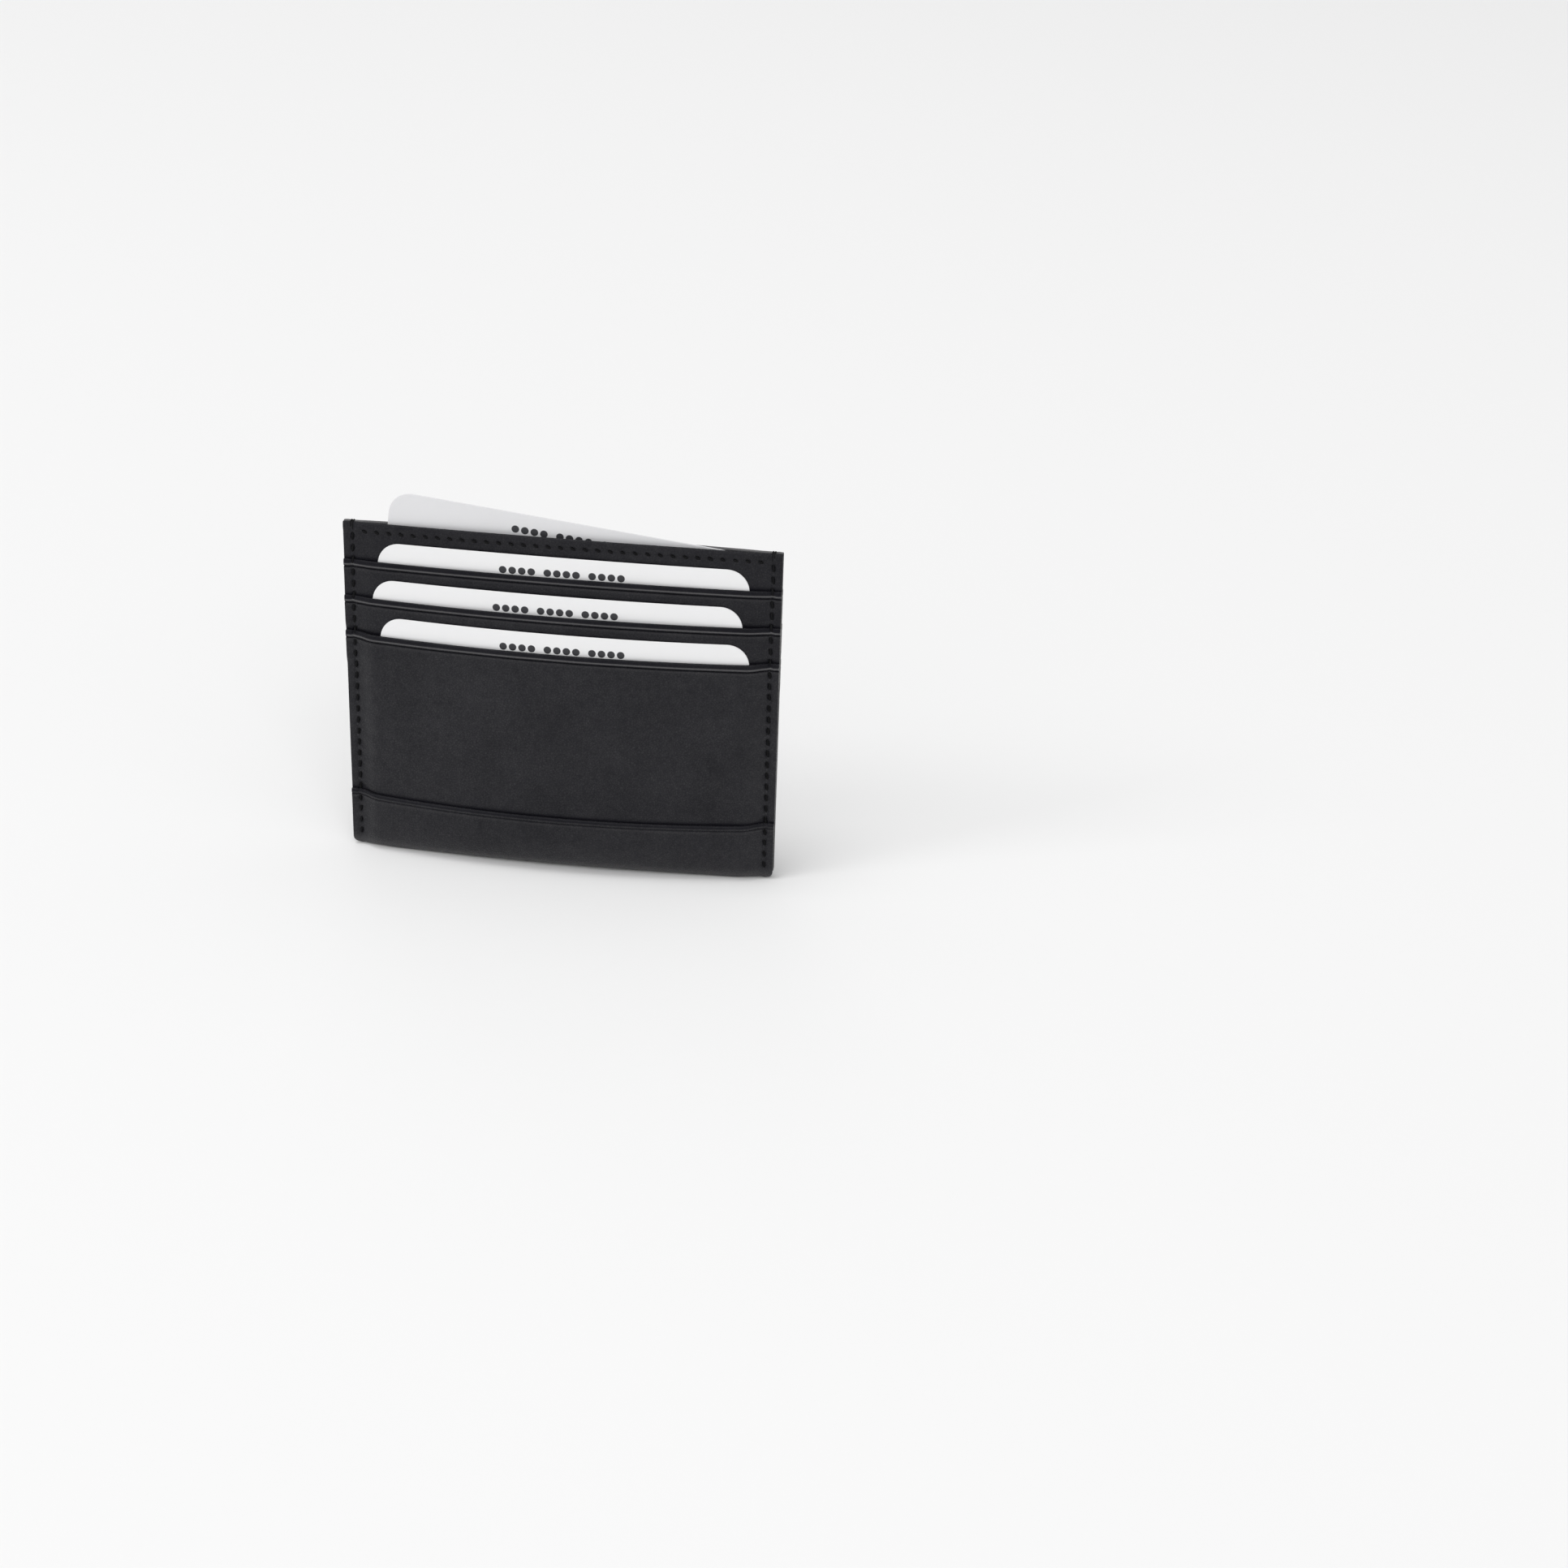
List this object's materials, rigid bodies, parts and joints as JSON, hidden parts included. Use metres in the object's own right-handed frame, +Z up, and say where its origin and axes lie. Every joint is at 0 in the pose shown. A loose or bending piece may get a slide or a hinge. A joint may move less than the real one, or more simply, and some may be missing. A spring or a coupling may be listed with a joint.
{
  "type": "card holder",
  "caption": "Slim leather card holder with stepped card slots on both faces, a centre pocket between them and blank dummy cards that slide out.",
  "frame": {"origin": "middle of the bottom fold, on the flat that the holder stands on", "axes": "+Z up, the way the cards pull out of their slots; +X to the right along the width, seen from the front; -Y out of the front face, the face with the separate bottom lip"},
  "size_m": [0.101, 0.0165, 0.0896],
  "materials": {
    "leather": "smooth black full-grain leather with a fine grain and a soft sheen",
    "lining": "matt brown-black woven lining cloth",
    "thread": "black waxed polyester sewing thread",
    "card": "white plastic card, satin"
  },
  "bodies": {
    "holder": {"outer_wrap": "leather", "front_pocket_panel": "leather", "centre_pocket_lining": "lining", "front_base_panel": "leather", "front_slot_strip_1": "leather", "front_slot_cloth_1": "lining", "front_slot_1_bottom_thread": "thread", "front_slot_strip_2": "leather", "front_slot_cloth_2": "lining", "front_slot_2_bottom_thread": "thread", "front_hem_thread": "thread", "front_left_seam_thread": "thread", "front_right_seam_thread": "thread", "back_base_panel": "leather", "back_slot_strip_1": "leather", "back_slot_cloth_1": "lining", "back_slot_1_bottom_thread": "thread", "back_slot_strip_2": "leather", "back_slot_cloth_2": "lining", "back_slot_2_bottom_thread": "thread", "back_hem_thread": "thread", "back_left_seam_thread": "thread", "back_right_seam_thread": "thread"},
    "front_card_1": {"front_card_1": "card"},
    "front_card_2": {"front_card_2": "card"},
    "front_card_3": {"front_card_3": "card"},
    "back_card_1": {"back_card_1": "card"},
    "back_card_2": {"back_card_2": "card"},
    "back_card_3": {"back_card_3": "card"},
    "centre_card": {"centre_card": "card"}
  },
  "joints": [
    {"name": "front_card_1_slide", "type": "slide", "parent": "holder", "child": "front_card_1", "axis": [0, 0, 1], "range_m": [0, 0.0595]},
    {"name": "front_card_2_slide", "type": "slide", "parent": "holder", "child": "front_card_2", "axis": [0, 0, 1], "range_m": [0, 0.0682]},
    {"name": "front_card_3_slide", "type": "slide", "parent": "holder", "child": "front_card_3", "axis": [0, 0, 1], "range_m": [0, 0.077]},
    {"name": "back_card_1_slide", "type": "slide", "parent": "holder", "child": "back_card_1", "axis": [0, 0, 1], "range_m": [0, 0.0595]},
    {"name": "back_card_2_slide", "type": "slide", "parent": "holder", "child": "back_card_2", "axis": [0, 0, 1], "range_m": [0, 0.0682]},
    {"name": "back_card_3_slide", "type": "slide", "parent": "holder", "child": "back_card_3", "axis": [0, 0, 1], "range_m": [0, 0.077]},
    {"name": "centre_card_slide", "type": "slide", "parent": "holder", "child": "centre_card", "axis": [0, 0, 1], "range_m": [-0.024, 0.0565]}
  ]
}
